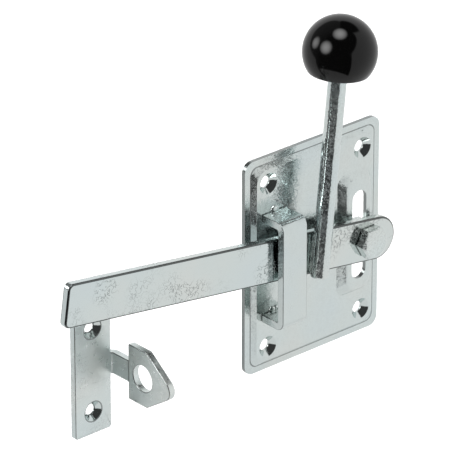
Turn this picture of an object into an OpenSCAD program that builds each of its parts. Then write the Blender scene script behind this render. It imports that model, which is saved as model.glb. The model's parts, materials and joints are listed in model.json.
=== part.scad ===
// Gate latch with a falling bar, ball-headed lever and screw-on keeper.
// Y = 0 is the face of the gate and post, the viewer is towards -Y, and Z is up.
// The origin is the centre of the back plate on that face.

/* [Back plate] */
// Width of the pressed plate
plate_w = 100; // [96:1:140]
// Height of the pressed plate
plate_h = 130; // [124:1:180]
// Corner radius of the plate
plate_corner_r = 6; // [4:0.5:10]
// Thickness of the pressed sheet
sheet_t = 2.5; // [2:0.1:3]
// Width of the flat rim round the raised panel
rim_w = 4; // [3:0.5:4.5]
// Rise of the panel above the rim
panel_rise = 2.5; // [2:0.1:3.5]
// Width of the sloped step between rim and panel
panel_run = 2.6; // [2:0.1:3]
// Corner radius of the panel at its foot
panel_corner_r = 5; // [4:0.5:8]

/* [Plate screw holes] */
// Distance of the screw holes from the plate's edges
screw_inset = 15; // [14:0.5:17]
// Diameter of the screw holes
screw_d = 6.5; // [5:0.1:7]
// Diameter of the countersink at the panel's face
screw_sink_d = 12.5; // [11:0.1:13]
// Wall of the pressed dimple behind each countersink
dimple_wall = 1.5; // [1:0.1:1.8]

/* [Pivot slot] */
// Distance of the slot and pivot from the plate's right-hand edge
pivot_inset = 20; // [19.5:0.5:22]
// Height of the slot's middle above the plate's centre
slot_z = -0.7; // [-5:0.1:5]
// Drop of the pivot below the slot's middle
pivot_drop = 0.9; // [-5:0.1:5]
// Length of the slot from end to end
slot_l = 54.5; // [40:0.5:58]
// Width of the slot
slot_w = 10.5; // [10.3:0.1:11.5]
// Width of the flat boss round the slot
boss_w = 18; // [17:0.5:19]
// Height of the flat boss round the slot
boss_h = 69; // [66:1:76]
// Rise of the boss above the panel
boss_rise = 3.5; // [3:0.1:4.5]
// Width of the slope round the boss
boss_run = 3.6; // [2:0.1:3.8]
// Corner radius of the boss at its foot
boss_corner_r = 6; // [4:0.5:8]

/* [Guide bracket] */
// Distance of the bracket's middle from the plate's left-hand edge
guide_inset = 19; // [16:0.5:22]
// Width of the strap
guide_w = 17.5; // [14:0.5:20]
// Thickness of the strap
guide_t = 4.5; // [3:0.1:5]
// Height over the outside of the bracket
guide_h = 65.5; // [62:0.5:72]
// Height of the bracket's middle above the plate's centre
guide_z = -0.4; // [-2:0.1:2]
// Outside radius of the two bends
guide_bend_r = 5.5; // [5.2:0.1:7]
// Play between the bar's face and the strap
guide_play = 2; // [0.6:0.1:3]

/* [Latch bar] */
// Length from the pivot to the free end
bar_reach = 220; // [205:1:260]
// Length from the pivot to the rounded end
bar_tail = 20; // [16:0.5:20.5]
// Height of the flat bar
bar_h = 25.5; // [22:0.5:28]
// Thickness of the flat bar
bar_t = 5; // [4:0.1:8]
// Rounding along the bar's edges
bar_edge_r = 1; // [0.5:0.1:1.5]
// Radius of the two corners at the free end
bar_corner_r = 3.5; // [2:0.5:6]
// Lift of the bar above level, as it is shown
bar_lift = 8.2; // [5:0.1:10]
// Play on each side of the bar at the pivot
bar_play = 0.2; // [0.1:0.05:0.4]

/* [Lever] */
// Room along the bar between the bracket and the lever's foot
rod_gap = 7; // [6:0.1:10]
// Diameter of the lever rod
rod_d = 10.5; // [8:0.5:11]
// Depth of the flat where the rod is welded to the bar
rod_flat = 0.5; // [0.3:0.1:1]
// Lean of the rod from square with the bar
rod_lean = -2.2; // [-3:0.1:1]
// Chamfer at the ends of the rod
rod_chamfer = 0.8; // [0.4:0.1:1.5]
// Distance from the rod's foot to the centre of the ball
knob_reach = 132.3; // [110:0.1:160]

/* [Ball knob] */
// Diameter of the ball
knob_d = 41.5; // [34:0.5:50]
// Distance of the flat below the ball's centre
knob_flat = 12.3; // [10:0.1:16]
// Depth of the socket for the rod
socket_depth = 20; // [16:0.5:24]
// Play of the rod in the socket
socket_play = 0.05; // [0.02:0.01:0.1]

/* [Pivot bolt] */
// Diameter of the bolt
bolt_d = 10; // [9:0.1:10]
// Width across the flats of the bolt head and the nut
hex_af = 17; // [16:0.5:17]
// Height of the bolt head
head_h = 6.4; // [5.5:0.1:7.5]
// Height of the flat nut behind the slot
nut_h = 4.8; // [4:0.1:5]
// Outside diameter of the washer
washer_d = 20.5; // [18:0.5:21]
// Thickness of the washer
washer_t = 2.5; // [1.5:0.1:3]
// Play round the bolt in the washer and the bar
bolt_play = 0.1; // [0.05:0.01:0.2]
// Play of the nut on the bolt
thread_play = 0.05; // [0.02:0.01:0.08]

/* [Keeper] */
// Distance from the pivot to the centre of the keeper plate
keeper_reach = 190.5; // [185:0.5:195]
// Width of the keeper plate
keeper_w = 25; // [22:0.5:30]
// Height of the keeper plate
keeper_h = 77; // [72:1:90]
// Thickness of the keeper
keeper_t = 4; // [3:0.1:5]
// Corner radius of the keeper plate
keeper_corner_r = 1.5; // [1:0.5:4]
// Spacing of the keeper's screw holes
keeper_screw_dz = 50; // [46:1:56]
// Diameter of the keeper's screw holes
keeper_screw_d = 6; // [5:0.1:6.5]
// Diameter of the keeper's countersinks
keeper_sink_d = 12; // [10:0.1:12]
// Drop of the neck below the bar when the bar lies level
seat_drop = 1; // [0.5:0.1:5]

/* [Keeper hook] */
// Height of the neck that carries the bar
neck_h = 12.8; // [10:0.1:16]
// Inside radius of the bend into the hook
hook_bend_r = 1; // [0.5:0.1:2]
// Play between the bar's face and the hook's head
hook_play = 1.5; // [0.8:0.1:3]
// Height of the head
head_span = 33.2; // [28:0.1:36]
// Length of the square part of the head
head_square = 14.5; // [14:0.1:20]
// Length of the head from its back edge to its tip
head_l = 33.4; // [30:0.1:40]
// Height of the blunt tip
tip_h = 6.5; // [6:0.1:12]
// Drop of the tip below the head's middle
tip_drop = 0.8; // [0:0.1:2]
// Radius of the tip's corners
tip_r = 3; // [1:0.1:3]
// Diameter of the padlock hole
padlock_d = 15.5; // [12:0.1:18]
// Distance of the padlock hole from the head's back edge
padlock_reach = 11.3; // [10:0.1:12]

/* [Hidden] */
$fn = 96;
// Overrun of cutting tools past the faces they open
cut = 1;
zinc = "#c4cbca";
black = "#141414";

// Depths in front of the gate's face, from the back to the viewer
panel_front = sheet_t + panel_rise;
boss_front = panel_front + boss_rise;
boss_back = boss_front - sheet_t;
washer_front = boss_front + washer_t;
bar_back = washer_front + bar_play;
bar_front = bar_back + bar_t;
head_back = bar_front + bar_play;
guide_front = bar_front + guide_play + guide_t;
rod_axis = bar_front + rod_d / 2 - rod_flat;
hook_back = bar_front + hook_play;

pivot_x = plate_w / 2 - pivot_inset;
pivot_z = slot_z - pivot_drop;
guide_x = guide_inset - plate_w / 2;
rod_reach = pivot_x - guide_x - guide_w / 2 - rod_gap - rod_d / 2;
panel_w = plate_w - 2 * rim_w;
panel_h = plate_h - 2 * rim_w;
boss_foot_w = boss_w + 2 * boss_run;
boss_foot_h = boss_h + 2 * boss_run;
pivot_hole_d = bolt_d + 2 * bolt_play;
keeper_x = pivot_x - keeper_reach;
keeper_z = pivot_z - bar_h / 2 - seat_drop - neck_h / 2;
hook_x = keeper_x + keeper_w / 2 + hook_bend_r;

// Lays a flat drawing against the gate at a depth, so that it grows towards the viewer
module at_depth(depth) {
    translate([0, -depth, 0]) rotate([90, 0, 0]) children();
}

// Turns a drawing of depth against height so that it grows along -X
module sideways() {
    rotate([90, 0, -90]) children();
}

// Puts a piece of the swinging lever at the pivot, lifted as shown
module at_pivot() {
    translate([pivot_x, 0, pivot_z]) rotate([0, bar_lift, 0]) children();
}

module rounded_rect(w, h, r) {
    square([w - 2 * r, h], center = true);
    square([w, h - 2 * r], center = true);
    for (sx = [-1, 1], sy = [-1, 1])
        translate([sx * (w / 2 - r), sy * (h / 2 - r)]) circle(r = r);
}

// Upright slot with round ends
module slot_shape(w, l) {
    square([w, l - w], center = true);
    for (s = [-1, 1])
        translate([0, s * (l - w) / 2]) circle(d = w);
}

// Rectangle from x = 0 to x = l, with round corners at its far end only
module rounded_far_end(l, h, r) {
    translate([0, -h / 2]) square([l - r, h]);
    translate([0, r - h / 2]) square([l, h - 2 * r]);
    for (s = [-1, 1])
        translate([l - r, s * (h / 2 - r)]) circle(r = r);
}

// Trapezium that narrows by the run on both sides over the rise
module slope_section(w, run, rise) {
    polygon([[-w / 2, 0], [w / 2, 0], [w / 2 - run, rise], [run - w / 2, rise]]);
}

// Pressed pad with sloped sides: two sloped ridges that cross, and a cone in each corner
module pressed_pad(w, h, r, run, rise) {
    rotate([90, 0, 0])
        linear_extrude(h - 2 * r, center = true) slope_section(w, run, rise);
    rotate([90, 0, 90])
        linear_extrude(w - 2 * r, center = true) slope_section(h, run, rise);
    for (sx = [-1, 1], sy = [-1, 1])
        translate([sx * (w / 2 - r), sy * (h / 2 - r), 0])
            cylinder(h = rise, r1 = r, r2 = r - run);
}

module panel_pad() {
    pressed_pad(panel_w, panel_h, panel_corner_r, panel_run, panel_rise);
}

module boss_pad() {
    translate([pivot_x, slot_z, 0])
        pressed_pad(boss_foot_w, boss_foot_h, boss_corner_r, boss_run, boss_rise);
}

// Countersunk hole in a face at z = 0, cut downwards through a wall
module sunk_hole(d, sink_d, wall) {
    sink = (sink_d - d) / 2;
    translate([0, 0, -wall - cut]) cylinder(h = wall + 2 * cut, d = d);
    translate([0, 0, -sink]) cylinder(h = sink, d1 = d, d2 = sink_d);
    cylinder(h = cut, d = sink_d);
}

module at_plate_screws() {
    for (sx = [-1, 1], sz = [-1, 1])
        translate([sx * (plate_w / 2 - screw_inset), sz * (plate_h / 2 - screw_inset), 0]) children();
}

// Pressed dimple behind a countersink, which bears on the gate
module dimple() {
    translate([0, 0, -panel_front])
        cylinder(h = panel_front, d1 = screw_d + 2 * dimple_wall, d2 = screw_sink_d + 2 * dimple_wall);
}

// Hexagon with its corners turned down by a cone at the top
module hex_blank(h) {
    corner_d = hex_af / cos(30);
    turn_down = (corner_d - hex_af) / 2;
    intersection() {
        cylinder(h = h, d = corner_d, $fn = 6);
        union() {
            cylinder(h = h - turn_down, d = corner_d);
            translate([0, 0, h - turn_down])
                cylinder(h = turn_down, d1 = corner_d, d2 = corner_d - 4 * turn_down);
        }
    }
}

module back_plate() color(zinc)
difference() {
    union() {
        difference() {
            union() {
                at_depth(0) linear_extrude(sheet_t)
                    rounded_rect(plate_w, plate_h, plate_corner_r);
                at_depth(sheet_t) panel_pad();
                at_depth(panel_front) boss_pad();
            }
            at_depth(0) panel_pad();
            at_depth(panel_rise) boss_pad();
        }
        at_depth(panel_front) at_plate_screws() dimple();
    }
    at_depth(panel_front) at_plate_screws()
        sunk_hole(screw_d, screw_sink_d, panel_front);
    at_depth(panel_front) linear_extrude(boss_rise + cut) translate([pivot_x, slot_z])
        slot_shape(slot_w, slot_l);
}

module guide_bracket() color(zinc)
translate([guide_x, -panel_front, guide_z]) sideways()
    linear_extrude(guide_w, center = true) difference() {
        stand_off = guide_front - panel_front;
        rounded_far_end(stand_off, guide_h, guide_bend_r);
        translate([-cut, 0])
            rounded_far_end(stand_off - guide_t + cut, guide_h - 2 * guide_t, guide_bend_r - guide_t);
    }

module latch_bar() color(zinc)
at_pivot() difference() {
    round_x = bar_tail - bar_h / 2;
    union() {
        intersection() {
            translate([0, -(bar_back + bar_front) / 2, 0]) rotate([0, -90, 0])
                translate([0, 0, -round_x]) linear_extrude(bar_reach + round_x)
                    rounded_rect(bar_h, bar_t, bar_edge_r);
            at_depth(bar_back) linear_extrude(bar_t) mirror([1, 0])
                translate([-round_x, 0]) rounded_far_end(bar_reach + round_x, bar_h, bar_corner_r);
        }
        translate([round_x, 0, 0]) at_depth((bar_back + bar_front) / 2)
            rotate_extrude() intersection() {
                rounded_rect(bar_h, bar_t, bar_edge_r);
                translate([0, -bar_t / 2]) square([bar_h / 2, bar_t]);
            }
    }
    at_depth(bar_back - cut) cylinder(h = bar_t + 2 * cut, d = pivot_hole_d);
}

// Rod along +Z from its foot, with turned-down ends
module turned_rod(l) {
    tip_d = rod_d - 2 * rod_chamfer;
    cylinder(h = rod_chamfer, d1 = tip_d, d2 = rod_d);
    translate([0, 0, rod_chamfer]) cylinder(h = l - 2 * rod_chamfer, d = rod_d);
    translate([0, 0, l - rod_chamfer]) cylinder(h = rod_chamfer, d1 = rod_d, d2 = tip_d);
}

// Stands a piece of the lever at the rod's foot, flush with the bar's lower edge
module at_rod_foot() {
    at_pivot() translate([-rod_reach, -rod_axis, -bar_h / 2]) rotate([0, rod_lean, 0]) children();
}

module lever_rod() color(zinc)
at_rod_foot() difference() {
    turned_rod(knob_reach - knob_flat + socket_depth);
    translate([-rod_d / 2, rod_d / 2 - rod_flat, -cut]) cube([rod_d, rod_d, bar_h + rod_flat + cut]);
}

module ball_knob() color(black)
at_rod_foot() translate([0, 0, knob_reach]) difference() {
    sphere(d = knob_d);
    translate([0, 0, -knob_flat - knob_d / 2]) cube(knob_d, center = true);
    translate([0, 0, -knob_flat - cut])
        cylinder(h = socket_depth + cut, d = rod_d + 2 * socket_play);
}

module pivot_bolt() color(zinc)
translate([pivot_x, 0, pivot_z]) {
    shank_end = boss_back - nut_h;
    chamfer = bolt_d / 10;
    at_depth(head_back) hex_blank(head_h);
    at_depth(shank_end + chamfer) cylinder(h = head_back - shank_end - chamfer, d = bolt_d);
    at_depth(shank_end) cylinder(h = chamfer, d1 = bolt_d - 2 * chamfer, d2 = bolt_d);
}

module pivot_washer() color(zinc)
translate([pivot_x, 0, pivot_z]) at_depth(boss_front) difference() {
    cylinder(h = washer_t, d = washer_d);
    translate([0, 0, -cut]) cylinder(h = washer_t + 2 * cut, d = pivot_hole_d);
}

module rear_nut() color(zinc)
translate([pivot_x, 0, pivot_z]) at_depth(boss_back) mirror([0, 0, 1]) difference() {
    hex_blank(nut_h);
    translate([0, 0, -cut]) cylinder(h = nut_h + 2 * cut, d = bolt_d + 2 * thread_play);
}

// Arrow-shaped head of the hook, drawn as depth from its back edge against height
module hook_head() {
    tip_x = head_l - tip_r;
    difference() {
        union() {
            polygon([[0, -head_span / 2], [head_square, -head_span / 2], [tip_x, -tip_h / 2 - tip_drop],
                     [tip_x, tip_h / 2 - tip_drop], [head_square, head_span / 2], [0, head_span / 2]]);
            translate([tip_x, -tip_drop]) square([2 * tip_r, tip_h - 2 * tip_r], center = true);
            for (s = [-1, 1])
                translate([tip_x, s * (tip_h / 2 - tip_r) - tip_drop]) circle(r = tip_r);
        }
        translate([padlock_reach, 0]) circle(d = padlock_d);
    }
}

// Quarter bend from the plate's right-hand edge towards the viewer, seen from above
module hook_bend() {
    bend_r = hook_bend_r + keeper_t;
    intersection() {
        difference() {
            circle(r = bend_r);
            circle(r = hook_bend_r);
        }
        square(bend_r);
    }
}

module keeper() color(zinc) {
    edge_x = keeper_x + keeper_w / 2;
    bend_depth = keeper_t + hook_bend_r;
    translate([keeper_x, 0, keeper_z]) difference() {
        at_depth(0) linear_extrude(keeper_t) rounded_rect(keeper_w, keeper_h, keeper_corner_r);
        at_depth(keeper_t) for (s = [-1, 1]) translate([0, s * keeper_screw_dz / 2, 0])
            sunk_hole(keeper_screw_d, keeper_sink_d, keeper_t);
    }
    translate([edge_x, -bend_depth, keeper_z])
        linear_extrude(neck_h, center = true) hook_bend();
    translate([hook_x + keeper_t, 0, keeper_z]) sideways() linear_extrude(keeper_t) {
        translate([bend_depth, -neck_h / 2]) square([hook_back - bend_depth + cut, neck_h]);
        translate([hook_back, 0]) hook_head();
    }
}

back_plate();
guide_bracket();
latch_bar();
lever_rod();
ball_knob();
pivot_bolt();
pivot_washer();
rear_nut();
keeper();
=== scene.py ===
"""Gate latch: the pieces of its visual model, their finishes and a white studio."""
import json
from math import atan2, pi, radians, sqrt

import bmesh
import bpy
from bpy.props import FloatProperty, FloatVectorProperty, PointerProperty
from mathutils import Matrix, Quaternion, Vector


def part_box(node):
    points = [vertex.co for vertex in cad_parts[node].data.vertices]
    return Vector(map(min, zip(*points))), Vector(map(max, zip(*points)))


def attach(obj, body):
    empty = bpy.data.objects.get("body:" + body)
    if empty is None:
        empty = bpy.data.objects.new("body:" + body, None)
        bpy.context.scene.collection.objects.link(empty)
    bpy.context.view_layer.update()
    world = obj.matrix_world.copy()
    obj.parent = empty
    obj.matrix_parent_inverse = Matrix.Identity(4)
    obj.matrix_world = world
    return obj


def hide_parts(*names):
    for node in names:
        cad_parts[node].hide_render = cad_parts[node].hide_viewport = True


bl_info = {
    "name": "Gate latch",
    "version": (1, 0, 0),
    "blender": (4, 5, 0),
    "location": "3D View > Sidebar > Gate Latch",
    "description": "Models a gate latch with a ball-headed lever, its keeper and a studio",
    "category": "Mesh",
}

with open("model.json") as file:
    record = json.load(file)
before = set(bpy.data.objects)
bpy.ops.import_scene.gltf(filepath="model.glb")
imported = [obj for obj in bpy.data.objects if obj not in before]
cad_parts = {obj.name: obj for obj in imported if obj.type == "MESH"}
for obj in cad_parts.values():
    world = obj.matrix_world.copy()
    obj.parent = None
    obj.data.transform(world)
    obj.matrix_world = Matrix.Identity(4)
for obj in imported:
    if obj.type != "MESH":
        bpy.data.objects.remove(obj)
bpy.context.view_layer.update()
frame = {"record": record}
PIVOT = Vector(frame["record"]["behaviour"]["joints"][0]["pos_m"])
X = Vector((1, 0, 0))
Z = Vector((0, 0, 1))

# Tolerances in metres: places that count as one, vertices to merge, cuts by a plane
NEAR = 1e-5
MERGE = 1e-6
CUT = 1e-7

# Reach of a cutter past the face that it cuts
PAST = 0.001

# The studio as the metal reflects it, as stops of place and value. Places run from 0 to 1
# round the horizon, with 0.5 towards the viewer: the height up to which the walls are lit
# (0 straight down, 1 straight up), their brightness, and the brightness above them
LIT_HEIGHT = ((0.0, 0.9), (0.11, 0.75), (0.197, 0.53), (0.285, 0.4), (0.3, 0.0), (0.59, 0.0),
              (0.597, 0.62), (0.667, 0.76), (0.73, 0.86), (0.765, 0.92), (0.83, 0.82), (1.0, 0.88))
LIT_LEVEL = ((0.0, 0.95), (0.1, 0.9), (0.2, 0.72), (0.3, 0.75), (0.6, 0.8), (0.73, 0.88),
             (0.85, 0.85), (1.0, 0.95))
DARK_LEVEL = ((0.2, 0.2), (0.28, 0.13), (0.33, 0.045), (0.6, 0.045))

# Reflected soft boxes: direction, cosine from it at which the glow starts, and peak brightness
SOFT_BOXES = (((-0.138, -0.129, 0.982), 0.935, 8.0),
              ((-0.8825, 0.0506, 0.4653), 0.935, 8.0),
              ((-0.648, 0.679, 0.345), 0.965, 5.0))

# Lamps that light the floor and the dull surfaces: name and place, and the point they all face
LAMPS = (("softbox_top", (-0.69, -0.65, 4.9)), ("softbox_left", (-4.4, 0.25, 2.35)))
LAMP_AIM = (0, 0, 0.1)


# Sizes and colours

def length(name, description, millimetres, least=0):
    """Length setting, given in millimetres."""
    return FloatProperty(name=name, description=description, default=millimetres / 1000,
                         min=least / 1000, precision=4, unit="LENGTH")


def angle(name, description, degrees):
    """Angle setting, given in degrees."""
    return FloatProperty(name=name, description=description, default=radians(degrees),
                         subtype="ANGLE", unit="ROTATION")


def colour(name, description, *levels):
    """Colour setting, given as linear red, green and blue."""
    return FloatVectorProperty(name=name, description=description, default=levels,
                               size=3, min=0, max=1, subtype="COLOR")


def share(name, description, value):
    """Setting between 0 and 1."""
    return FloatProperty(name=name, description=description, default=value,
                         min=0, max=1, subtype="FACTOR")


class PlateSizes(bpy.types.PropertyGroup):
    sheet: length("Sheet", "Thickness of the pressed sheet", 2.5)
    corner: length("Corner", "Corner radius of the plate", 6)
    rim: length("Rim", "Width of the flat rim round the panel", 4)
    rise: length("Panel rise", "Rise of the panel above the rim", 2.5)
    run: length("Panel run", "Width of the slope round the panel", 2.6)
    panel_corner: length("Panel corner", "Corner radius of the panel at its foot", 5)
    panel_r: length("Panel radius", "Corner radius of the flat panel", 7.5)
    bend: length("Bend", "Rounding at the top of the panel's slope", 1.4)
    crease: length("Crease", "Rounding at the foot of the pressed slopes", 0.4)
    boss_w: length("Boss width", "Width of the flat boss round the slot", 17.4)
    boss_h: length("Boss height", "Height of the flat boss round the slot", 67.5)
    boss_r: length("Boss radius", "Corner radius of the flat boss", 7)
    boss_bend: length("Boss bend", "Rounding at the top of the boss's slope", 1.5)
    foot_w: length("Foot width", "Width of the boss at its foot", 24.6)
    foot_h: length("Foot height", "Height of the boss at its foot", 74.2)
    foot_r: length("Foot radius", "Corner radius of the boss at its foot", 6)
    foot_shift: length("Foot shift", "Shift of the boss's foot from the slot towards the bracket", 1.3)
    slot_w: length("Slot width", "Width of the pivot slot", 10.5)
    slot_l: length("Slot length", "Length of the pivot slot", 54.5)
    slot_drop: length("Slot drop", "Drop of the slot's middle below the plate's", 0.7)
    hole_r: length("Hole radius", "Radius of the screw holes", 3.25)
    sink_r: length("Sink radius", "Radius of the countersinks at the panel's face", 6.25)
    hole_x: length("Hole offset X", "Distance of the screw holes from the centre, across", 35)
    hole_z: length("Hole offset Z", "Distance of the screw holes from the centre, upwards", 50)
    land: length("Land", "Length of the straight wall in the screw holes", 0.8)
    dimple: length("Dimple wall", "Wall of the pressed dimples behind the countersinks", 1.5)
    edge: length("Edge", "Rounding of the sheet's cut edges", 0.3)


class GuideSizes(bpy.types.PropertyGroup):
    strap: length("Strap", "Thickness of the strap", 4.5)
    bend: length("Bend", "Outside radius of the two bends", 5.5)
    edge: length("Edge", "Rounding along the strap's edges", 0.6)
    tack: length("Tack", "Radius of the weld tacks at the bracket's feet", 3.2)
    undercut: length("Undercut", "Chamfer around the bracket's feet", 0.5)


class LeverSizes(bpy.types.PropertyGroup):
    lift: angle("Lift", "Lift of the bar above level", 8.2)
    reach: length("Reach", "Length from the pivot to the bar's free end", 220)
    tail: length("Tail", "Length from the pivot to the bar's round end", 20)
    height: length("Height", "Height of the bar", 25.5)
    corner: length("Corner", "Radius of the corners at the free end", 3.5)
    edge: length("Edge", "Rounding along the bar's edges", 1)
    rod_reach: length("Rod reach", "Distance of the rod's foot from the pivot", 40)
    rod_r: length("Rod radius", "Radius of the lever rod", 5.25)
    rod_flat: length("Rod flat", "Depth of the rod's welded flat", 0.5)
    lean: angle("Lean", "Lean of the rod from square with the bar", -2.2)
    foot: length("Rod foot", "Rounding of the rod's ends", 1.1)
    knob_reach: length("Knob reach", "Distance from the rod's foot to the ball's centre", 132.3)
    knob_r: length("Knob radius", "Radius of the ball", 20.75)
    knob_flat: length("Knob flat", "Distance of the flat below the ball's centre", 12.3)
    knob_edge: length("Knob edge", "Rounding round the ball's flat", 0.8)
    socket: length("Socket", "Depth of the ball's socket", 20)
    socket_play: length("Socket play", "Play round the rod in the socket", 0.1)
    socket_gap: length("Socket gap", "Gap between the rod's end and the socket's bottom", 0.5)
    seam_r: length("Seam radius", "Radius of the weld seams beside the rod", 0.6)
    seam_end: length("Seam end", "Distance of the seams' ends from the bar's edges", 2)


class PivotSizes(bpy.types.PropertyGroup):
    bolt_r: length("Bolt radius", "Radius of the bolt", 5)
    flats: length("Flats", "Width across the flats of head and nut", 17)
    washer_r: length("Washer radius", "Outside radius of the washer", 10.25)
    play: length("Play", "Play round the bolt in the washer and the bar", 0.1)
    edge: length("Edge", "Rounding of the small edges", 0.25)
    undercut: length("Undercut", "Chamfer behind the bolt head", 0.6)
    head_gap: length("Head gap", "Gap between the bolt head and the bar", 0.2)
    shank_end: length("Shank end", "Chamfer at the bolt's end", 0.9)
    thread_play: length("Thread play", "Play round the bolt in the nut", 0.05)


class KeeperSizes(bpy.types.PropertyGroup):
    width: length("Width", "Width of the keeper plate", 25)
    thickness: length("Thickness", "Thickness of the keeper", 4)
    corner: length("Corner", "Corner radius of the keeper plate", 1.5)
    hole_r: length("Hole radius", "Radius of the screw holes", 3)
    sink_r: length("Sink radius", "Radius of the countersinks", 6)
    hole_z: length("Hole offset", "Distance of the screw holes from the middle", 25)
    neck: length("Neck", "Height of the neck that carries the bar", 12.8)
    bend: length("Bend", "Inside radius of the bend into the hook", 1)
    head_back: length("Head back", "Depth of the head's back edge", 17.7)
    head_span: length("Head span", "Height of the head", 33.2)
    head_square: length("Head square", "Length of the square part of the head", 14.5)
    tip: length("Tip", "Height of the blunt tip", 6.5)
    tip_drop: length("Tip drop", "Drop of the tip below the head's middle", 0.8)
    tip_r: length("Tip radius", "Radius of the tip's corners", 3)
    padlock_r: length("Padlock radius", "Radius of the padlock hole", 7.75)
    padlock_reach: length("Padlock reach", "Distance of that hole from the head's back edge", 11.3)
    edge: length("Edge", "Rounding of the edges", 0.4)


class Finishes(bpy.types.PropertyGroup):
    zinc: colour("Zinc", "Colour of the zinc plating", 0.665, 0.725, 0.715)
    zinc_cool: colour("Zinc, cool", "Cooler patches of the plating", 0.65, 0.72, 0.725)
    zinc_warm: colour("Zinc, warm", "Warmer patches of the plating", 0.69, 0.725, 0.705)
    knob: colour("Knob", "Colour of the plastic ball", 0.0006, 0.0006, 0.0006)
    gloss: share("Knob roughness", "Roughness of the ball", 0.1)
    # Painted shade: the edge tone darkens the plating on rounded edges, creases and cut sides, to stand
    # for the shade and dark reflections there
    edge: share("Edge tone", "Brightness of the plating on rounded edges and cut sides", 0.45)
    nick: colour("Nicks", "Colour at the bottom of nicks and pits", 0.12, 0.13, 0.13)


class Studio(bpy.types.PropertyGroup):
    camera: FloatVectorProperty(name="Camera", description="Place of the camera", size=3,
                                default=(-1.6847, -1.8329, 1.2255), subtype="TRANSLATION")
    aim: FloatVectorProperty(name="Aim", description="Point in the middle of the picture", size=3,
                             default=(-0.0313, 0.0333, 0.0085), subtype="TRANSLATION")
    lens: FloatProperty(name="Lens", description="Focal length in millimetres", default=396.5)
    floor: length("Floor", "Depth of the floor below the latch's middle", 420)
    floor_colour: colour("Floor colour", "Colour of the floor", 0.85, 0.85, 0.85)
    floor_glow: share("Floor glow", "Glow that keeps the floor pale in the picture", 0.3)
    fill: share("Fill", "Brightness of the even light on dull surfaces", 0.35)
    lamp_width: length("Lamp width", "Width of each soft lamp", 3600)
    lamp_power: FloatProperty(name="Lamp power", description="Power of each soft lamp in watts",
                              default=240)
    table: length("Table", "Depth of the reflected table top below the latch's middle", 140)
    table_r: length("Table radius", "Reach of the reflected table top towards the viewer", 247)
    table_x: length("Table place", "Middle of the reflected table top along the width", -150, -1000)
    table_left: angle("Table left", "Reach of the reflected table top to the left", 72)
    table_right: angle("Table right", "Reach of the reflected table top to the right", 140)
    table_colour: colour("Table colour", "Colour of the reflected table top", 0.8, 0.8, 0.8)


class LatchSettings(bpy.types.PropertyGroup):
    plate: PointerProperty(type=PlateSizes)
    guide: PointerProperty(type=GuideSizes)
    lever: PointerProperty(type=LeverSizes)
    pivot: PointerProperty(type=PivotSizes)
    keeper: PointerProperty(type=KeeperSizes)
    finish: PointerProperty(type=Finishes)
    studio: PointerProperty(type=Studio)


# Modelling helpers

def deselect():
    """Go back to object mode with nothing selected."""
    if bpy.context.mode != "OBJECT":
        bpy.ops.object.mode_set(mode="OBJECT")
    bpy.ops.object.select_all(action="DESELECT")


def take(*objs):
    """Select these objects alone, with the first one active."""
    deselect()
    for obj in objs:
        obj.select_set(True)
    bpy.context.view_layer.objects.active = objs[0]


def settle(name):
    """Name the object that was just added and move its place and turn into its mesh."""
    obj = bpy.context.object
    obj.name = obj.data.name = name
    bpy.ops.object.transform_apply(location=True, rotation=True, scale=True)
    return obj


def place(obj, matrix):
    """Move a finished mesh by a matrix, leaving the object itself at the origin."""
    take(obj)
    obj.matrix_world = matrix
    bpy.ops.object.transform_apply(location=True, rotation=True, scale=True)
    return obj


def join(name, *objs):
    """Make one named object of several."""
    take(*objs)
    if len(objs) > 1:
        bpy.ops.object.join()
    objs[0].name = objs[0].data.name = name
    return objs[0]


def block(name, low, high):
    """Box between two corners."""
    deselect()
    low, high = Vector(low), Vector(high)
    bpy.ops.mesh.primitive_cube_add(size=1, location=(low + high) / 2, scale=high - low)
    return settle(name)


def sheet(name, x, y, z, w, h):
    """Flat face against the gate, w wide and h tall, that looks towards the viewer."""
    deselect()
    bpy.ops.mesh.primitive_plane_add(size=1, location=(x, y, z), rotation=(pi / 2, 0, 0))
    bpy.context.object.scale = (w, h, 1)
    return settle(name)


def turned(name, start, end, radius, end_radius=None, sides=64, spin=0.0):
    """Cylinder or cone between two points."""
    deselect()
    start, end = Vector(start), Vector(end)
    way = end - start
    turn = way.to_track_quat("Z", "Y") @ Quaternion((0, 0, 1), spin)
    bpy.ops.mesh.primitive_cone_add(
        vertices=sides, radius1=radius, radius2=radius if end_radius is None else end_radius,
        depth=way.length, location=(start + end) / 2, rotation=turn.to_euler())
    return settle(name)


def pick(obj, kind, test):
    """Open a mesh and select the faces or edges that pass a test of middle, direction and element."""
    take(obj)
    bpy.ops.object.mode_set(mode="EDIT")
    bpy.ops.mesh.select_mode(type=kind)
    bpy.ops.mesh.select_all(action="DESELECT")
    mesh = bmesh.from_edit_mesh(obj.data)
    if kind == "FACE":
        chosen = [f for f in mesh.faces if test(f.calc_center_median(), f.normal, f)]
    else:
        chosen = []
        for edge in mesh.edges:
            a, b = (vert.co for vert in edge.verts)
            if test((a + b) / 2, (b - a).normalized(), edge):
                chosen.append(edge)
    for item in chosen:
        item.select_set(True)
    mesh.select_flush_mode()
    bmesh.update_edit_mesh(obj.data)
    if not chosen:
        raise RuntimeError(f"nothing to select on {obj.name}")


def pick_all(obj, kind="VERT"):
    """Open a mesh with all of it selected."""
    take(obj)
    bpy.ops.object.mode_set(mode="EDIT")
    bpy.ops.mesh.select_mode(type=kind)
    bpy.ops.mesh.select_all(action="SELECT")


def close_mesh():
    """Go back from the mesh to its object."""
    bpy.ops.object.mode_set(mode="OBJECT")


def round_edges(obj, radius, segments, test, material=-1):
    """Bevel chosen edges; the new faces can take a material slot."""
    pick(obj, "EDGE", test)
    bpy.ops.mesh.bevel(offset=radius, segments=segments, affect="EDGES", clamp_overlap=True,
                       material=material)
    close_mesh()


def extrude(*move):
    """Draw the selected faces out by a move."""
    bpy.ops.mesh.extrude_region_move(TRANSFORM_OT_translate={"value": move})


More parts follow.
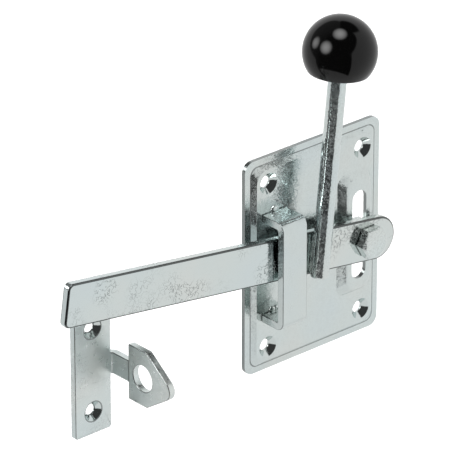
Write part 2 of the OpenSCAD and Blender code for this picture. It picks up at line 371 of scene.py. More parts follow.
def modify(obj, kind, **values):
    """Add a modifier and apply it."""
    take(obj)
    modifier = obj.modifiers.new(kind.title(), kind)
    for key, value in values.items():
        setattr(modifier, key, value)
    bpy.ops.object.modifier_apply(modifier=modifier.name)


def rescale(factor, *objs):
    """Scale meshes about the origin."""
    take(*objs)
    for obj in objs:
        obj.scale = (factor, factor, factor)
    bpy.ops.object.transform_apply(location=True, rotation=True, scale=True)


def carve(obj, tool, operation="DIFFERENCE"):
    """Cut a mesh with a tool, or join them; done in millimetres, where the result is cleaner."""
    rescale(1000, obj, tool)
    modify(obj, "BOOLEAN", object=tool, operation=operation, solver="MANIFOLD")
    bpy.data.objects.remove(tool)
    rescale(0.001, obj)


def sunk_hole(x, z, depth, hole_r, sink_r, land=None):
    """Cutter for a countersunk hole from a face at this depth; behind its land it flares again."""
    tight = sink_r - hole_r - depth
    back = PAST if land is None else tight + land
    tool = turned("sunk_hole", (x, back, z), (x, tight, z), hole_r)

    def flare(side, y, radius):
        pick(tool, "FACE", lambda middle, normal, face: normal.y * side > 0.9)
        extrude(0, y - (tight if side < 0 else back), 0)
        wide = radius / hole_r
        bpy.ops.transform.resize(value=(wide, 1, wide), center_override=(x, y, z))
        close_mesh()

    flare(-1, -depth - PAST, sink_r + PAST)
    if land is not None:
        flare(1, PAST, hole_r - back)
    return tool


def merge_flat(obj, test):
    """Turn neighbouring chosen faces in one plane into one face."""
    pick(obj, "FACE", test)
    bpy.ops.mesh.dissolve_limited(angle_limit=radians(0.5))
    close_mesh()


def outward(obj):
    """Make the faces of a mesh point outwards."""
    pick_all(obj, "FACE")
    bpy.ops.mesh.normals_make_consistent(inside=False)
    close_mesh()


def smooth(obj, limit=38):
    """Shade a mesh smooth, apart from edges sharper than the limit in degrees."""
    take(obj)
    bpy.ops.object.shade_smooth_by_angle(angle=radians(limit))
    modify(obj, "WEIGHTED_NORMAL", keep_sharp=True, weight=60)


def dress(obj, *materials):
    """Give a piece its materials, in the order of its slots."""
    obj.data.materials.clear()
    for material in materials:
        obj.data.materials.append(material)


def paint(obj, index, test):
    """Give chosen faces one of the piece's materials."""
    pick(obj, "FACE", test)
    obj.active_material_index = index
    bpy.ops.object.material_slot_assign()
    close_mesh()


def soften(obj, radius, segments=3, limit=40, clamp=True, material=1):
    """Round every edge sharper than the limit in degrees, in one of the materials (by default the second,
    mostly the plating darkened as painted shade), and smooth the mesh's shading.
    """
    modify(obj, "BEVEL", width=radius, segments=segments, limit_method="ANGLE", material=material,
           angle_limit=radians(limit), miter_outer="MITER_ARC", use_clamp_overlap=clamp)
    smooth(obj)


def piece(obj, body, slot, *nodes):
    """Give a finished piece its body and hide the CAD nodes it stands for; the slot argument is not used.
    """
    if nodes:
        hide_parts(*nodes)
    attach(obj, body)


# Materials

def new_material(name):
    """Material with its node tree and its shader."""
    material = bpy.data.materials.new(name)
    material.use_nodes = True
    tree = material.node_tree
    return material, tree, tree.nodes["Principled BSDF"]


def node(tree, kind, sockets=None, **settings):
    """Add a node; a socket's value is a constant or another node's output."""
    item = tree.nodes.new(kind)
    for key, value in settings.items():
        setattr(item, key, value)
    for key, value in (sockets or {}).items():
        if isinstance(value, bpy.types.NodeSocket):
            tree.links.new(value, item.inputs[key])
        else:
            item.inputs[key].default_value = value
    return item


def ramp(tree, factor, *stops):
    """Colour ramp through stops of place and level or colour."""
    item = node(tree, "ShaderNodeValToRGB", {"Fac": factor})
    points = item.color_ramp.elements
    while len(points) < len(stops):
        points.new(0.5)
    for point, (position, value) in zip(points, stops):
        point.position = position
        point.color = (*value, 1) if hasattr(value, "__len__") else (value, value, value, 1)
    return item.outputs["Color"]


def spread(tree, value, low, high, to_low, to_high):
    """Map a value from one range to another."""
    return node(tree, "ShaderNodeMapRange", {
        "Value": value, "From Min": low, "From Max": high,
        "To Min": to_low, "To Max": to_high}).outputs["Result"]


def maths(tree, operation, a, b=0.0):
    """Result of a calculation with one or two values."""
    return node(tree, "ShaderNodeMath", {0: a, 1: b}, operation=operation).outputs[0]


def zinc(name, turn=0.0, rough=0.16, grain=0.08, dull=0.0, scratches=0.3, marks=0.0, tone=1.0):
    """Bright zinc plating: cloudy tint, grain, dull specks, scratches along the piece, nicks and pits."""
    look = bpy.context.scene.gate_latch.finish
    material, tree, shader = new_material(name)
    where = node(tree, "ShaderNodeTexCoord").outputs["Object"]

    clouds = node(tree, "ShaderNodeTexNoise",
                  {"Vector": where, "Scale": 24.0, "Detail": 2.0}).outputs[0]
    tint = ramp(tree, clouds, *[(spot, [level * tone for level in shade]) for spot, shade in (
        (0.32, look.zinc_cool), (0.5, look.zinc), (0.68, look.zinc_warm))])

    grains = node(tree, "ShaderNodeTexVoronoi", {"Vector": where, "Scale": 1400.0}).outputs["Color"]
    tilt = node(tree, "ShaderNodeVectorMath", {0: grains, 1: (0.5, 0.5, 0.5)}, operation="SUBTRACT")
    tilt = node(tree, "ShaderNodeVectorMath", {0: tilt.outputs[0], "Scale": grain}, operation="SCALE")
    specks = node(tree, "ShaderNodeSeparateColor", {"Color": grains}).outputs[1]

    along = node(tree, "ShaderNodeMapping",
                 {"Vector": where, "Rotation": (0, turn, 0), "Scale": (22, 300, 1500)}).outputs[0]
    lines = node(tree, "ShaderNodeTexNoise",
                 {"Vector": along, "Scale": 1.0, "Detail": 3.0, "Roughness": 0.7}).outputs[0]
    cuts = spread(tree, lines, 0.62, 0.72, 0.0, scratches)

    patches = node(tree, "ShaderNodeTexNoise",
                   {"Vector": where, "Scale": 45.0, "Detail": 1.0}).outputs[0]
    patch = spread(tree, patches, 0.5, 0.64, 0.0, marks)
    curls = node(tree, "ShaderNodeTexNoise",
                 {"Vector": where, "Scale": 250.0, "Detail": 2.0, "Roughness": 0.6}).outputs[0]
    swing = maths(tree, "ABSOLUTE", maths(tree, "SUBTRACT", curls, 0.5))
    nicks = spread(tree, swing, 0.0, 0.02, 1.0, 0.0)
    cells = node(tree, "ShaderNodeTexVoronoi", {"Vector": where, "Scale": 480.0}).outputs
    chance = node(tree, "ShaderNodeSeparateColor", {"Color": cells["Color"]}).outputs[0]
    pits = maths(tree, "MULTIPLY", spread(tree, cells["Distance"], 0.1, 0.24, 1.0, 0.0),
                 maths(tree, "GREATER_THAN", chance, 0.45))
    spots = maths(tree, "MULTIPLY", maths(tree, "MAXIMUM", nicks, pits), patch)

    shade = node(tree, "ShaderNodeMixRGB", {
        "Fac": maths(tree, "MULTIPLY", spots, 0.45), "Color1": tint, "Color2": (*look.nick, 1)})
    height = maths(tree, "MULTIPLY", maths(tree, "ADD", cuts, spots), -0.25)
    bump = node(tree, "ShaderNodeBump", {"Height": height, "Strength": 1.0, "Distance": 0.0005})
    rocked = node(tree, "ShaderNodeVectorMath",
                  {0: bump.outputs[0], 1: tilt.outputs[0]}, operation="ADD")
    facing = node(tree, "ShaderNodeVectorMath", {0: rocked.outputs[0]}, operation="NORMALIZE")
    tree.links.new(shade.outputs[0], shader.inputs["Base Color"])
    tree.links.new(spread(tree, curls, 0.3, 0.7, rough * 0.7, rough * 1.3), shader.inputs["Roughness"])
    tree.links.new(facing.outputs[0], shader.inputs["Normal"])
    tree.links.new(spread(tree, specks, 0.2, 0.9, 1.0, 1.0 - dull), shader.inputs["Metallic"])
    return material


def shared_zinc(name, **values):
    """Zinc plating that several pieces use, made once."""
    return bpy.data.materials.get(name) or zinc(name, **values)


def shaded_edge_zinc():
    """Plating darkened to paint shade and dark reflections on rounded edges, creases and cut sides."""
    return shared_zinc("zinc_edge_painted_shade", rough=0.2, tone=bpy.context.scene.gate_latch.finish.edge)


def sink_zinc():
    """Smoother plating for turned countersinks."""
    return shared_zinc("zinc_sink", rough=0.1, grain=0.04, scratches=0.1)


def weld_zinc():
    """Grainier plating for welds."""
    return shared_zinc("zinc_weld", rough=0.2, grain=0.15)


def plastic(name):
    """Glossy black plastic with a faint ripple."""
    look = bpy.context.scene.gate_latch.finish
    material, tree, shader = new_material(name)
    where = node(tree, "ShaderNodeTexCoord").outputs["Object"]
    waves = node(tree, "ShaderNodeTexNoise", {"Vector": where, "Scale": 60.0, "Detail": 1.0}).outputs[0]
    bump = node(tree, "ShaderNodeBump", {"Height": waves, "Strength": 0.05, "Distance": 0.001})
    shade = ramp(tree, waves, (0.3, look.knob), (0.7, [level * 1.4 for level in look.knob]))
    tree.links.new(shade, shader.inputs["Base Color"])
    tree.links.new(spread(tree, waves, 0.3, 0.7, look.gloss * 0.8, look.gloss * 1.2),
                   shader.inputs["Roughness"])
    tree.links.new(bump.outputs[0], shader.inputs["Normal"])
    shader.inputs["IOR"].default_value = 1.38
    return material


# Pieces

class GATE_LATCH_OT_back_plate(bpy.types.Operator):
    """Press the back plate: rim, raised panel, slotted boss and four dimpled countersinks"""
    bl_idname = "gate_latch.back_plate"
    bl_label = "Back Plate"
    bl_options = {"REGISTER", "UNDO"}

    def outline(self, w, h, r, x, z, depth):
        """Rounded rectangle as a loop of edges in front of the gate."""
        obj = sheet("outline", x, -depth, z, w, h)
        pick_all(obj)
        bpy.ops.mesh.bevel(offset=r, segments=10, affect="VERTICES", clamp_overlap=False)
        bpy.ops.mesh.select_all(action="SELECT")
        bpy.ops.mesh.delete(type="ONLY_FACE")
        close_mesh()
        return obj

    def ring(self, outer, inner):
        """Strip of faces between two outlines."""
        obj = join("ring", self.outline(*outer), self.outline(*inner))
        pick_all(obj, "EDGE")
        bpy.ops.mesh.bridge_edge_loops()
        close_mesh()
        return obj

    def execute(self, context):
        size = context.scene.gate_latch.plate
        low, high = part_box("back_plate")
        width, height = high.x - low.x, high.z - low.z
        panel, boss = size.sheet + size.rise, -low.y
        foot = (width - 2 * size.rim, height - 2 * size.rim)
        top = (foot[0] - 2 * size.run, foot[1] - 2 * size.run)
        rim_line = (width, height, size.corner, 0, 0, size.sheet)
        foot_line = (*foot, size.panel_corner, 0, 0, size.sheet)
        panel_line = (*top, size.panel_r, 0, 0, panel)
        slot_z = -size.slot_drop
        boss_foot = (size.foot_w, size.foot_h, size.foot_r, PIVOT.x - size.foot_shift, 0, panel)
        boss_top = (size.boss_w, size.boss_h, size.boss_r, PIVOT.x, slot_z, boss)
        # Just under half the width, so that the slot's ends keep a short straight edge
        slot_r = size.slot_w * 0.4999
        slot = (size.slot_w, size.slot_l, slot_r, PIVOT.x, slot_z, boss)
        plate = join("pressed_plate", self.ring(rim_line, foot_line), self.ring(foot_line, panel_line),
                     self.ring(boss_foot, boss_top), self.ring(boss_top, slot))
        pick_all(plate)
        bpy.ops.mesh.remove_doubles(threshold=MERGE)
        close_mesh()

        def on_panel(middle):
            return abs(middle.y + panel) < NEAR

        pick(plate, "EDGE", lambda middle, way, edge: on_panel(middle))
        bpy.ops.mesh.fill(use_beauty=True)
        close_mesh()
        merge_flat(plate, lambda middle, normal, face: on_panel(middle))
        outward(plate)
        # The open sheet has to face the viewer before it is thickened backwards
        if sum(face.normal.y * face.area for face in plate.data.polygons) > 0:
            pick_all(plate, "FACE")
            bpy.ops.mesh.flip_normals()
            close_mesh()
        dress(plate, zinc("zinc_plate", rough=0.2, grain=0.09, dull=0.08, scratches=0.1, marks=0.1),
              shaded_edge_zinc(), sink_zinc())

        def bent(depth, of_boss):
            """Test for the bent edges at a depth: those of the boss, or the others."""
            margin = 0.0005

            def test(middle, way, edge):
                aside = abs(middle.x - PIVOT.x + size.foot_shift)
                return (abs(middle.y + depth) < NEAR and edge.calc_face_angle(0) > radians(15)
                        and of_boss == (aside < size.foot_w / 2 + margin))
            return test

        # The creases at the foot of the slopes take the darkened edge plating: painted shade along the
        # foot of each slope
        for depth, radius, of_boss, finish in (
                (panel, size.bend, False, 0), (boss, size.boss_bend, True, 0),
                (panel, size.crease, True, 1), (size.sheet, size.crease, False, 1)):
            round_edges(plate, radius, 5, bent(depth, of_boss), finish)
        modify(plate, "SOLIDIFY", thickness=size.sheet, offset=-1)

        spots = [(sx * size.hole_x, sz * size.hole_z) for sx in (-1, 1) for sz in (-1, 1)]
        under = panel - 0.2 * size.sheet
        carve(plate, join("dimples", *[
            turned("dimple", (x, -under, z), (x, 0, z), size.sink_r + size.dimple,
                   size.hole_r + size.dimple) for x, z in spots]), "UNION")
        carve(plate, join("holes", *[
            sunk_hole(x, z, panel, size.hole_r, size.sink_r, size.land) for x, z in spots]))
        # The rounded edges take the darkened edge plating as painted shade
        soften(plate, size.edge, 2)

        def shaded_cut_side(middle, normal, face):
            """The plate's outer sides and the slot's walls, which get the darkened edge plating as
            painted shade.
            """
            inside = size.corner * 0.3
            outer = abs(middle.x) > width / 2 - inside or abs(middle.z) > height / 2 - inside
            wall = middle.y < -panel and abs(middle.x - PIVOT.x) < size.slot_w * 0.55
            return abs(normal.y) < 0.3 and (outer or wall)

        def countersink(middle, normal, face):
            aside, along = abs(middle.x) - size.hole_x, abs(middle.z) - size.hole_z
            return 0.1 < abs(normal.y) < 0.99 and aside ** 2 + along ** 2 < size.sink_r ** 2

        # Painted shade: the outer sides and the slot's walls take the darkened edge plating
        paint(plate, 1, shaded_cut_side)
        paint(plate, 2, countersink)
        piece(plate, "mount", "zinc_steel", "back_plate")
        return {"FINISHED"}


class GATE_LATCH_OT_guide_bracket(bpy.types.Operator):
    """Bend the guide bracket from a strap and tack it to the panel"""
    bl_idname = "gate_latch.guide_bracket"
    bl_label = "Guide Bracket"
    bl_options = {"REGISTER", "UNDO"}

    def execute(self, context):
        size = context.scene.gate_latch.guide
        low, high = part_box("guide_bracket")
        middle, width = (low.x + high.x) / 2, high.x - low.x
        leg = high.y - low.y - size.bend
        turn_y = low.y + size.bend
        strap = sheet("guide_strap", middle, high.y, high.z - size.strap / 2, width, size.strap)
        pick_all(strap, "FACE")
        extrude(0, -leg, 0)
        bpy.ops.mesh.spin(steps=10, angle=-pi / 2, axis=X, center=(0, turn_y, high.z - size.bend))
        extrude(0, 0, low.z - high.z + 2 * size.bend)
        bpy.ops.mesh.spin(steps=10, angle=-pi / 2, axis=X, center=(0, turn_y, low.z + size.bend))
        extrude(0, leg, 0)
        bpy.ops.mesh.select_all(action="SELECT")
        bpy.ops.mesh.remove_doubles(threshold=MERGE)
        close_mesh()
        outward(strap)
        dress(strap, zinc("zinc_strap", rough=0.22, grain=0.03, scratches=0.1, marks=0.2), shaded_edge_zinc())
        # The chamfer round the feet and the rounded edges take the darkened edge plating: a painted
        # shadow line where the strap meets the panel, and painted shade along the edges
        round_edges(strap, size.undercut, 1, lambda mid, way, edge: mid.y > high.y - NEAR, 1)
        soften(strap, size.edge)
        piece(strap, "mount", "zinc_steel", "guide_bracket")

        # Each tack's shift along the width, its height, and its share of the largest tack
        tacks = []
        for x, z, share_of_tack in ((0.0005, high.z + 0.0008, 1), (0.0005, low.z - 0.0008, 1),
                                    (-0.001, low.z + size.strap + 0.0006, 0.8),
                                    (0.0018, low.z + size.strap + 0.001, 0.65),
                                    (0.0005, high.z - size.strap - 0.0008, 0.8)):
            deselect()
            bpy.ops.mesh.primitive_uv_sphere_add(
                segments=32, ring_count=16, radius=size.tack * share_of_tack,
                location=(middle + x, high.y, z), scale=(1, 0.5, 0.8))
            tacks.append(settle("tack"))
        welds = join("guide_welds", *tacks)
        modify(welds, "SUBSURF", levels=1, render_levels=1)
        smooth(welds, 80)
        dress(welds, weld_zinc())
        piece(welds, "mount", "zinc_steel")
        return {"FINISHED"}


class GATE_LATCH_OT_latch_bar(bpy.types.Operator):
    """Cut the flat bar, round its tail and bore it for the bolt"""
    bl_idname = "gate_latch.latch_bar"
    bl_label = "Latch Bar"
    bl_options = {"REGISTER", "UNDO"}

    def execute(self, context):
        size = context.scene.gate_latch.lever
        pivot = context.scene.gate_latch.pivot
        low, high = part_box("latch_bar")
        half = size.height / 2
        bar = block("drop_bar", (-size.reach, low.y, -half), (size.tail, high.y, half))

        def across(way):
            return abs(way.y) > 0.9

        # Just under half the height, so that the round end keeps a short straight edge
        tail_r = half * 0.9999
        round_edges(bar, tail_r, 24, lambda middle, way, edge: across(way) and middle.x > 0)
        round_edges(bar, size.corner, 8, lambda middle, way, edge: across(way) and middle.x < 0)
        carve(bar, turned("bore", (0, low.y - PAST, 0), (0, high.y + PAST, 0),
                          pivot.bolt_r + pivot.play))
        # A cut beside the bore keeps the long face free of thin triangles
        beside = -size.rod_reach / 2
        pick_all(bar, "FACE")
        bpy.ops.mesh.bisect(plane_co=(beside, 0, 0), plane_no=X, threshold=CUT)
        close_mesh()
        merge_flat(bar, lambda middle, normal, face: middle.x < beside)
        merge_flat(bar, lambda middle, normal, face: middle.x > beside)
        # The bar's rounded edges take a far darker plating: painted dark lines of shade and reflection
        # along them
        dress(bar, zinc("zinc_bar", turn=-size.lift, rough=0.08, grain=0.05, scratches=0.15, marks=1.0),
              zinc("zinc_bar_edge_painted_shade", rough=0.2, tone=context.scene.gate_latch.finish.edge * 0.45))
        soften(bar, size.edge, 4, 50, clamp=False)
        place(bar, Matrix.Translation(PIVOT) @ Matrix.Rotation(size.lift, 4, "Y"))
        piece(bar, "latch", "zinc_steel", "latch_bar")
        return {"FINISHED"}


def lever_matrix(size):
    """From the rod's own axis, with its foot at the origin, to its place on the lifted bar."""
    low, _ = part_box("lever_rod")
    foot = Vector((-size.rod_reach, low.y + size.rod_r, -size.height / 2))
    return (Matrix.Translation(PIVOT) @ Matrix.Rotation(size.lift, 4, "Y")
            @ Matrix.Translation(foot) @ Matrix.Rotation(size.lean, 4, "Y"))


class GATE_LATCH_OT_lever_rod(bpy.types.Operator):
    """Turn the lever rod and flatten it where it is welded to the bar"""
    bl_idname = "gate_latch.lever_rod"
    bl_label = "Lever Rod"
    bl_options = {"REGISTER", "UNDO"}

    def execute(self, context):
        size = context.scene.gate_latch.lever
        tall = size.knob_reach - size.knob_flat + size.socket - size.socket_gap
        rod = turned("lever_stem", (0, 0, 0), (0, 0, tall), size.rod_r, sides=72)
        round_edges(rod, size.foot, 5, lambda middle, way, edge: abs(way.z) < 0.1)
        r = size.rod_r
        carve(rod, block("flat", (-2 * r, r - size.rod_flat, -PAST),
                         (2 * r, 2 * r, size.height + size.rod_flat)))
        smooth(rod)
        place(rod, lever_matrix(size))
        dress(rod, zinc("zinc_rod", turn=pi / 2 - size.lift - size.lean, rough=0.1, grain=0.1,
                        dull=0.16, scratches=0.05))
        piece(rod, "latch", "zinc_steel", "lever_rod")

        seams = []
        face_y = r - size.rod_flat
        beside_flat = 1.12 * sqrt(r ** 2 - face_y ** 2)
        for x in (-beside_flat, beside_flat):
            seam = turned("seam", (x, face_y, size.seam_end), (x, face_y, size.height - size.seam_end),
                          size.seam_r, sides=16)
            round_edges(seam, size.seam_r / 1.2, 3, lambda middle, way, edge: abs(way.z) < 0.1)
            seams.append(seam)
        welds = join("lever_welds", *seams)
        smooth(welds, 60)
        place(welds, lever_matrix(size))
        dress(welds, weld_zinc())
        piece(welds, "latch", "zinc_steel")
        return {"FINISHED"}


class GATE_LATCH_OT_ball_knob(bpy.types.Operator):
    """Cut a flat and a socket into the ball knob"""
    bl_idname = "gate_latch.ball_knob"
    bl_label = "Ball Knob"
    bl_options = {"REGISTER", "UNDO"}

    def execute(self, context):
        size = context.scene.gate_latch.lever
        deselect()
        bpy.ops.mesh.primitive_uv_sphere_add(segments=96, ring_count=64, radius=size.knob_r,
                                             location=(0, 0, size.knob_reach))
        ball = settle("lever_ball")
        flat = size.knob_reach - size.knob_flat
        pick_all(ball, "FACE")
        bpy.ops.mesh.bisect(plane_co=(0, 0, flat), plane_no=Z, use_fill=True, clear_inner=True,
                            threshold=CUT)
        close_mesh()
        flat_r = sqrt(size.knob_r ** 2 - size.knob_flat ** 2)
        pick(ball, "FACE", lambda middle, normal, face: normal.z < -0.99 and len(face.verts) > 50)
        bpy.ops.mesh.inset(thickness=flat_r - size.rod_r - size.socket_play)
        extrude(0, 0, size.socket)
        close_mesh()
        outward(ball)
        round_edges(ball, size.knob_edge, 4, lambda middle, way, edge: abs(middle.z - flat) < NEAR
                    and middle.xy.length > flat_r * 0.9 and edge.calc_face_angle(0) > 0.3)
        smooth(ball, 50)
        place(ball, lever_matrix(size))
        dress(ball, plastic("knob_black"))
        piece(ball, "latch", "knob_plastic", "ball_knob")
        return {"FINISHED"}


def on_pivot(y):
    """Point on the pivot's axis."""
    return PIVOT.x, y, PIVOT.z


class GATE_LATCH_OT_pivot(bpy.types.Operator):
    """Make the pivot's bolt, washer and rear nut"""
    bl_idname = "gate_latch.pivot"
    bl_label = "Pivot Bolt, Washer and Nut"
    bl_options = {"REGISTER", "UNDO"}

    def hexagon(self, flats, back, front):
        """Hexagon between two depths, with its corners turned down at the second one."""
        corner = flats / sqrt(3)
        down = corner - flats / 2
        spare = 0.0005 if front > back else -0.0005
        blank = turned("hexagon", on_pivot(-back), on_pivot(-front), corner, sides=6, spin=pi / 6)
        face = corner - 2 * down
        carve(blank, turned("cone", on_pivot(spare - back), on_pivot(-front - spare),
                            face + 2 * (abs(front - back) + abs(spare)), face - 2 * abs(spare),
                            sides=96), "INTERSECT")
        return blank

    def execute(self, context):
        size = context.scene.gate_latch.pivot
        # The second material is the darkened edge plating: painted shade on the bevels of the washer and
        # the nut, and behind the head
        finish = zinc("zinc_bolt", rough=0.14, grain=0.08, dull=0.25, scratches=0.1), shaded_edge_zinc()
        low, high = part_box("pivot_bolt")
        head_back = -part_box("latch_bar")[0].y + size.head_gap
        head = self.hexagon(size.flats, head_back, -low.y)
        dress(head, *finish)
        round_edges(head, size.undercut, 1, lambda middle, way, edge: middle.y > -head_back - NEAR)
        soften(head, size.edge, 3, 20, material=0)
        # Painted shadow: the chamfer behind the head takes the darkened edge plating, a dark line where
        # the head meets the bar
        paint(head, 1, lambda middle, normal, face: 0.2 < normal.y < 0.9)
        shank = turned("shank", on_pivot(-head_back), on_pivot(high.y), size.bolt_r)
        round_edges(shank, size.shank_end, 2, lambda middle, way, edge: middle.y > high.y - NEAR)
        smooth(shank)
        piece(join("hinge_bolt", head, shank), "mount", "zinc_steel", "pivot_bolt")

        front, back = (box.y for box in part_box("pivot_washer"))
        washer = turned("hinge_washer", on_pivot(front), on_pivot(back), size.washer_r, sides=96)
        carve(washer, turned("bore", on_pivot(front - PAST), on_pivot(back + PAST),
                             size.bolt_r + size.play))
        dress(washer, *finish)
        soften(washer, size.edge)
        piece(washer, "mount", "zinc_steel", "pivot_washer")

        front, back = (box.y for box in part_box("rear_nut"))
        nut = join("lock_nut", self.hexagon(size.flats, -front, -back))
        carve(nut, turned("bore", on_pivot(front - PAST), on_pivot(back + PAST),
                          size.bolt_r + size.thread_play))
        dress(nut, *finish)
        soften(nut, size.edge, 3, 20)
        piece(nut, "mount", "zinc_steel", "rear_nut")
        return {"FINISHED"}


class GATE_LATCH_OT_keeper(bpy.types.Operator):
    """Bend the keeper's hook out of its plate, shape the head and bore it"""
    bl_idname = "gate_latch.keeper"
    bl_label = "Keeper"
    bl_options = {"REGISTER", "UNDO"}

    def execute(self, context):
        size = context.scene.gate_latch.keeper
        low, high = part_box("keeper")
        t = size.thickness
        right = low.x + size.width
        middle_z = (low.z + high.z) / 2
        plate = block("hook_keeper", (low.x, -t, low.z), (right, 0, high.z))
        round_edges(plate, size.corner, 5, lambda middle, way, edge: abs(way.y) > 0.9)
        for side in (-1, 1):
            pick_all(plate, "FACE")
            bpy.ops.mesh.bisect(plane_co=(0, 0, middle_z + side * size.neck / 2), plane_no=Z,
                                threshold=CUT)
            close_mesh()
        pick(plate, "FACE", lambda middle, normal, face: normal.x > 0.9 and middle.x > right - NEAR
             and abs(middle.z - middle_z) < size.neck / 4)
        bpy.ops.mesh.spin(steps=8, angle=pi / 2, axis=Z, center=(right, -t - size.bend, 0))
        extrude(0, -(size.head_back - t - size.bend), 0)
        middle = (right + size.bend + t / 2, -size.head_back, middle_z)
        extrude(0, 0, 0)
        bpy.ops.transform.resize(value=(1, 1, size.head_span / size.neck), center_override=middle)
        extrude(0, -size.head_square, 0)
        extrude(0, -(-low.y - size.head_back - size.head_square), 0)
        bpy.ops.transform.resize(value=(1, 1, size.tip / size.head_span), center_override=middle)
        bpy.ops.transform.translate(value=(0, 0, -size.tip_drop))
        close_mesh()
        outward(plate)
        round_edges(plate, size.tip_r, 6, lambda mid, way, edge: abs(way.x) > 0.9
                    and mid.y < low.y + 10 * NEAR)
        hook_x = right + size.bend
        reach = size.head_back + size.padlock_reach
        carve(plate, turned("padlock", (hook_x - PAST, -reach, middle_z),
                            (hook_x + t + PAST, -reach, middle_z), size.padlock_r, sides=96))
        carve(plate, join("holes", *[
            sunk_hole(low.x + size.width / 2, middle_z + side * size.hole_z, t, size.hole_r, size.sink_r)
            for side in (-1, 1)]))
        dress(plate, zinc("zinc_keeper", turn=pi / 2, rough=0.34, grain=0.06, scratches=0.5, marks=0.5,
                          tone=1.1), shaded_edge_zinc(), sink_zinc())

        def countersink(spot, normal, face):
            aside = spot.x - low.x - size.width / 2
            along = abs(spot.z - middle_z) - size.hole_z
            inside = spot.y < -NEAR and aside ** 2 + along ** 2 < size.sink_r ** 2
            return inside and abs(normal.y) < 0.99

        paint(plate, 2, countersink)
        # The rounded edges take the darkened edge plating as painted shade
        soften(plate, size.edge, clamp=False)
        piece(plate, "mount", "zinc_steel", "keeper")
        return {"FINISHED"}


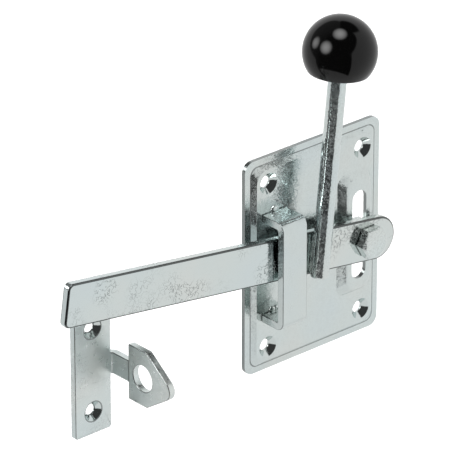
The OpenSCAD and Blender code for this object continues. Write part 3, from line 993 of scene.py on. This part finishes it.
class GATE_LATCH_OT_studio(bpy.types.Operator):
    """Set up the floor, the reflected table top, the world, the lamps and the camera"""
    bl_idname = "gate_latch.studio"
    bl_label = "Studio"
    bl_options = {"REGISTER", "UNDO"}

    def floor(self, size):
        """Pale floor far below the latch, left out of reflections."""
        deselect()
        bpy.ops.mesh.primitive_plane_add(size=60, location=(0, 0, -size.floor))
        floor = settle("studio_floor")
        material, tree, shader = new_material("floor_white")
        tree.nodes.remove(shader)
        level = (*size.floor_colour, 1)
        diffuse = node(tree, "ShaderNodeBsdfDiffuse", {"Color": level})
        path = node(tree, "ShaderNodeLightPath").outputs
        glow = node(tree, "ShaderNodeEmission",
                    {"Strength": maths(tree, "MULTIPLY", path["Is Camera Ray"], size.floor_glow)})
        both = node(tree, "ShaderNodeAddShader", {0: diffuse.outputs[0], 1: glow.outputs[0]})
        tree.links.new(both.outputs[0], tree.nodes["Material Output"].inputs["Surface"])
        floor.data.materials.append(material)
        floor.visible_glossy = False

    def table(self, size):
        """White table top in front of the latch, which only its shiny surfaces see."""
        deselect()
        bpy.ops.mesh.primitive_circle_add(vertices=96, radius=size.table_r, fill_type="TRIFAN",
                                          location=(size.table_x, 0, -size.table))
        table = settle("table_card")
        ahead = atan2(size.camera[1], size.camera[0])

        def aside(middle):
            turn = (atan2(middle.y, middle.x - size.table_x) - ahead + pi) % (2 * pi) - pi
            return not -size.table_left < turn < size.table_right

        pick(table, "FACE", lambda middle, normal, face: aside(middle))
        bpy.ops.mesh.delete(type="FACE")
        close_mesh()
        material, tree, shader = new_material("table_white")
        tree.nodes.remove(shader)
        glow = node(tree, "ShaderNodeEmission", {"Color": (*size.table_colour, 1)})
        tree.links.new(glow.outputs[0], tree.nodes["Material Output"].inputs["Surface"])
        table.data.materials.append(material)
        table.visible_camera = table.visible_diffuse = table.visible_shadow = False
        table.visible_transmission = False

    def world(self, size):
        """White behind the latch, even light on dull surfaces, and the studio in reflections."""
        world = bpy.data.worlds.new("studio_world")
        bpy.context.scene.world = world
        world.use_nodes = True
        tree = world.node_tree
        background = tree.nodes["Background"]
        way = node(tree, "ShaderNodeTexCoord").outputs["Generated"]
        axes = node(tree, "ShaderNodeSeparateXYZ", {"Vector": way}).outputs
        heading = maths(tree, "ARCTAN2", axes["Y"], axes["X"])
        offset = 0.5 - atan2(size.camera[1], size.camera[0]) / (2 * pi)
        circle = maths(tree, "DIVIDE", heading, 2 * pi)
        around = maths(tree, "FRACT", maths(tree, "ADD", circle, offset))
        edge = ramp(tree, around, *LIT_HEIGHT)
        level = ramp(tree, around, *LIT_LEVEL)
        dark = ramp(tree, around, *DARK_LEVEL)
        height = spread(tree, axes["Z"], -1.0, 1.0, 0.0, 1.0)
        lit = spread(tree, maths(tree, "SUBTRACT", edge, height), -0.02, 0.02, 0.0, 1.0)
        studio = node(tree, "ShaderNodeMixRGB",
                      {"Fac": lit, "Color1": dark, "Color2": level}).outputs[0]
        for box, start, peak in SOFT_BOXES:
            facing = node(tree, "ShaderNodeVectorMath", {0: way, 1: box}, operation="DOT_PRODUCT")
            glow = spread(tree, facing.outputs["Value"], start, 1.0, 0.0, peak)
            studio = node(tree, "ShaderNodeMixRGB", {
                "Fac": 1.0, "Color1": studio, "Color2": glow}, blend_type="ADD").outputs[0]
        path = node(tree, "ShaderNodeLightPath").outputs
        fill = (size.fill, size.fill, size.fill, 1)
        even = node(tree, "ShaderNodeMixRGB", {
            "Fac": path["Is Glossy Ray"], "Color1": fill, "Color2": studio}).outputs[0]
        white = maths(tree, "MAXIMUM", path["Is Camera Ray"], path["Is Transmission Ray"])
        final = node(tree, "ShaderNodeMixRGB",
                     {"Fac": white, "Color1": even, "Color2": (1, 1, 1, 1)}).outputs[0]
        tree.links.new(final, background.inputs["Color"])

    def lamp(self, size, name, spot):
        """Soft lamp that neither the camera nor the metal sees."""
        deselect()
        bpy.ops.object.light_add(type="AREA", location=spot)
        lamp = bpy.context.object
        lamp.name = lamp.data.name = name
        lamp.data.shape = "SQUARE"
        lamp.data.size = size.lamp_width
        lamp.data.energy = size.lamp_power
        lamp.visible_camera = lamp.visible_glossy = False
        lamp.rotation_euler = (Vector(LAMP_AIM) - Vector(spot)).to_track_quat("-Z", "Y").to_euler()

    def execute(self, context):
        scene = context.scene
        size = scene.gate_latch.studio
        self.floor(size)
        self.table(size)
        self.world(size)
        for name, spot in LAMPS:
            self.lamp(size, name, spot)
        deselect()
        eye, aim = Vector(size.camera), Vector(size.aim)
        turn = (aim - eye).to_track_quat("-Z", "Y")
        bpy.ops.object.camera_add(location=eye, rotation=turn.to_euler())
        camera = context.object
        camera.name = camera.data.name = "photo_camera"
        camera.data.lens = size.lens
        camera.data.clip_end = 100
        scene.camera = camera
        scene.view_settings.view_transform = "Standard"
        return {"FINISHED"}


# Add-on

OPERATORS = (GATE_LATCH_OT_back_plate, GATE_LATCH_OT_guide_bracket, GATE_LATCH_OT_latch_bar,
             GATE_LATCH_OT_lever_rod, GATE_LATCH_OT_ball_knob, GATE_LATCH_OT_pivot,
             GATE_LATCH_OT_keeper, GATE_LATCH_OT_studio)


class GATE_LATCH_PT_panel(bpy.types.Panel):
    """List the latch's pieces and settings in the sidebar"""
    bl_idname = "GATE_LATCH_PT_panel"
    bl_label = "Gate Latch"
    bl_space_type = "VIEW_3D"
    bl_region_type = "UI"
    bl_category = "Gate Latch"

    def draw(self, context):
        for operator in OPERATORS:
            self.layout.operator(operator.bl_idname)
        settings = context.scene.gate_latch
        for group in settings.bl_rna.properties.keys():
            if group in {"rna_type", "name"}:
                continue
            box = self.layout.box()
            box.label(text=group.title())
            values = getattr(settings, group)
            for key in values.bl_rna.properties.keys():
                if key not in {"rna_type", "name"}:
                    box.prop(values, key)


CLASSES = (PlateSizes, GuideSizes, LeverSizes, PivotSizes, KeeperSizes, Finishes, Studio,
           LatchSettings, *OPERATORS, GATE_LATCH_PT_panel)


def register():
    for item in CLASSES:
        bpy.utils.register_class(item)
    bpy.types.Scene.gate_latch = PointerProperty(type=LatchSettings)


def unregister():
    del bpy.types.Scene.gate_latch
    for item in reversed(CLASSES):
        bpy.utils.unregister_class(item)


def main():
    register()
    bpy.ops.gate_latch.back_plate()
    bpy.ops.gate_latch.guide_bracket()
    bpy.ops.gate_latch.latch_bar()
    bpy.ops.gate_latch.lever_rod()
    bpy.ops.gate_latch.ball_knob()
    bpy.ops.gate_latch.pivot()
    bpy.ops.gate_latch.keeper()
    bpy.ops.gate_latch.studio()
    deselect()


if __name__ == "__main__":
    main()
